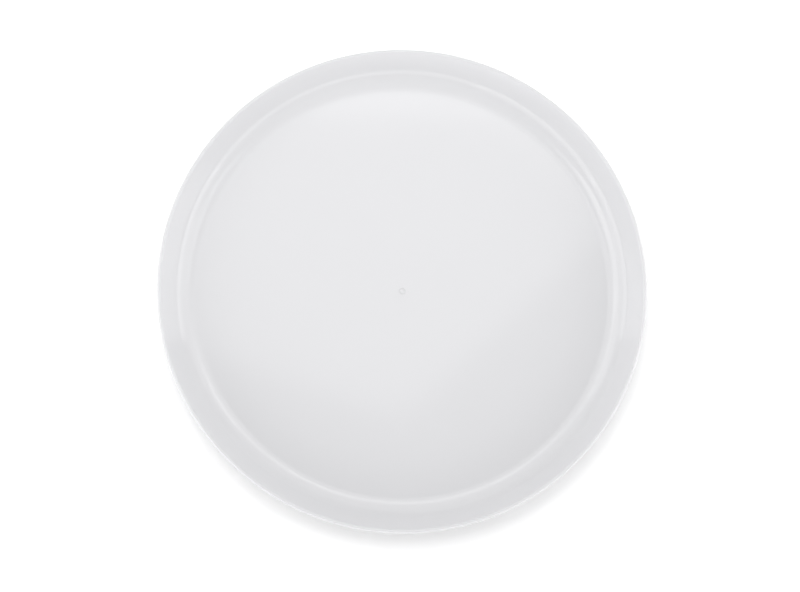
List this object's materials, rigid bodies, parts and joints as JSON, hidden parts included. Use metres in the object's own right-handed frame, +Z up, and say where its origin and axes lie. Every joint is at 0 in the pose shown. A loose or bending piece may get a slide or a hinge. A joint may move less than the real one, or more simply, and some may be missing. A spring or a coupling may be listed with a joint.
{
  "type": "lazy susan turntable",
  "caption": "Round shallow white tray with a flared, rounded rim that turns on a ring of caged balls over a low base with rubber feet.",
  "frame": {"origin": "on the surface it stands on, straight under the pivot", "axes": "+Z up along the pivot, +X towards one of the feet"},
  "size_m": [0.2666, 0.2666, 0.0315],
  "materials": {
    "tray_plastic": "white moulded plastic with a soft satin sheen",
    "base_plastic": "white moulded plastic, finely textured",
    "cage_plastic": "natural moulded plastic, slightly translucent milky white",
    "ball_steel": "polished bearing steel",
    "plated_steel": "zinc plated steel",
    "foot_rubber": "soft dark grey rubber"
  },
  "bodies": {
    "base": {"base": "base_plastic", "foot_1": "foot_rubber", "foot_2": "foot_rubber", "foot_3": "foot_rubber", "foot_4": "foot_rubber", "foot_5": "foot_rubber", "foot_6": "foot_rubber"},
    "tray": {"tray": "tray_plastic", "pivot_washer": "plated_steel", "pivot_screw": "plated_steel"},
    "cage": {"ball_cage": "cage_plastic"},
    "ball_01": {"ball_01": "ball_steel"},
    "ball_02": {"ball_02": "ball_steel"},
    "ball_03": {"ball_03": "ball_steel"},
    "ball_04": {"ball_04": "ball_steel"},
    "ball_05": {"ball_05": "ball_steel"},
    "ball_06": {"ball_06": "ball_steel"},
    "ball_07": {"ball_07": "ball_steel"},
    "ball_08": {"ball_08": "ball_steel"},
    "ball_09": {"ball_09": "ball_steel"},
    "ball_10": {"ball_10": "ball_steel"},
    "ball_11": {"ball_11": "ball_steel"},
    "ball_12": {"ball_12": "ball_steel"}
  },
  "joints": [
    {"name": "tray_spin", "type": "hinge", "parent": "base", "child": "tray", "pos_m": [0, 0, 0.0141], "axis": [0, 0, 1], "continuous": true},
    {"name": "cage_orbit", "type": "hinge", "parent": "base", "child": "cage", "pos_m": [0, 0, 0.0109], "axis": [0, 0, 1], "continuous": true},
    {"name": "ball_01_roll", "type": "hinge", "parent": "cage", "child": "ball_01", "pos_m": [0.072, 0, 0.0109], "axis": [1, 0, 0], "continuous": true},
    {"name": "ball_02_roll", "type": "hinge", "parent": "cage", "child": "ball_02", "pos_m": [0.06235, 0.036, 0.0109], "axis": [0.866, 0.5, 0], "continuous": true},
    {"name": "ball_03_roll", "type": "hinge", "parent": "cage", "child": "ball_03", "pos_m": [0.036, 0.06235, 0.0109], "axis": [0.5, 0.866, 0], "continuous": true},
    {"name": "ball_04_roll", "type": "hinge", "parent": "cage", "child": "ball_04", "pos_m": [0, 0.072, 0.0109], "axis": [0, 1, 0], "continuous": true},
    {"name": "ball_05_roll", "type": "hinge", "parent": "cage", "child": "ball_05", "pos_m": [-0.036, 0.06235, 0.0109], "axis": [-0.5, 0.866, 0], "continuous": true},
    {"name": "ball_06_roll", "type": "hinge", "parent": "cage", "child": "ball_06", "pos_m": [-0.06235, 0.036, 0.0109], "axis": [-0.866, 0.5, 0], "continuous": true},
    {"name": "ball_07_roll", "type": "hinge", "parent": "cage", "child": "ball_07", "pos_m": [-0.072, 0, 0.0109], "axis": [-1, 0, 0], "continuous": true},
    {"name": "ball_08_roll", "type": "hinge", "parent": "cage", "child": "ball_08", "pos_m": [-0.06235, -0.036, 0.0109], "axis": [-0.866, -0.5, 0], "continuous": true},
    {"name": "ball_09_roll", "type": "hinge", "parent": "cage", "child": "ball_09", "pos_m": [-0.036, -0.06235, 0.0109], "axis": [-0.5, -0.866, 0], "continuous": true},
    {"name": "ball_10_roll", "type": "hinge", "parent": "cage", "child": "ball_10", "pos_m": [0, -0.072, 0.0109], "axis": [0, -1, 0], "continuous": true},
    {"name": "ball_11_roll", "type": "hinge", "parent": "cage", "child": "ball_11", "pos_m": [0.036, -0.06235, 0.0109], "axis": [0.5, -0.866, 0], "continuous": true},
    {"name": "ball_12_roll", "type": "hinge", "parent": "cage", "child": "ball_12", "pos_m": [0.06235, -0.036, 0.0109], "axis": [0.866, -0.5, 0], "continuous": true}
  ],
  "couplings": [
    {"joint": "cage_orbit", "follows": "tray_spin", "ratio": 0.5},
    {"joint": "ball_01_roll", "follows": "tray_spin", "ratio": -11.339},
    {"joint": "ball_02_roll", "follows": "tray_spin", "ratio": -11.339},
    {"joint": "ball_03_roll", "follows": "tray_spin", "ratio": -11.339},
    {"joint": "ball_04_roll", "follows": "tray_spin", "ratio": -11.339},
    {"joint": "ball_05_roll", "follows": "tray_spin", "ratio": -11.339},
    {"joint": "ball_06_roll", "follows": "tray_spin", "ratio": -11.339},
    {"joint": "ball_07_roll", "follows": "tray_spin", "ratio": -11.339},
    {"joint": "ball_08_roll", "follows": "tray_spin", "ratio": -11.339},
    {"joint": "ball_09_roll", "follows": "tray_spin", "ratio": -11.339},
    {"joint": "ball_10_roll", "follows": "tray_spin", "ratio": -11.339},
    {"joint": "ball_11_roll", "follows": "tray_spin", "ratio": -11.339},
    {"joint": "ball_12_roll", "follows": "tray_spin", "ratio": -11.339}
  ]
}
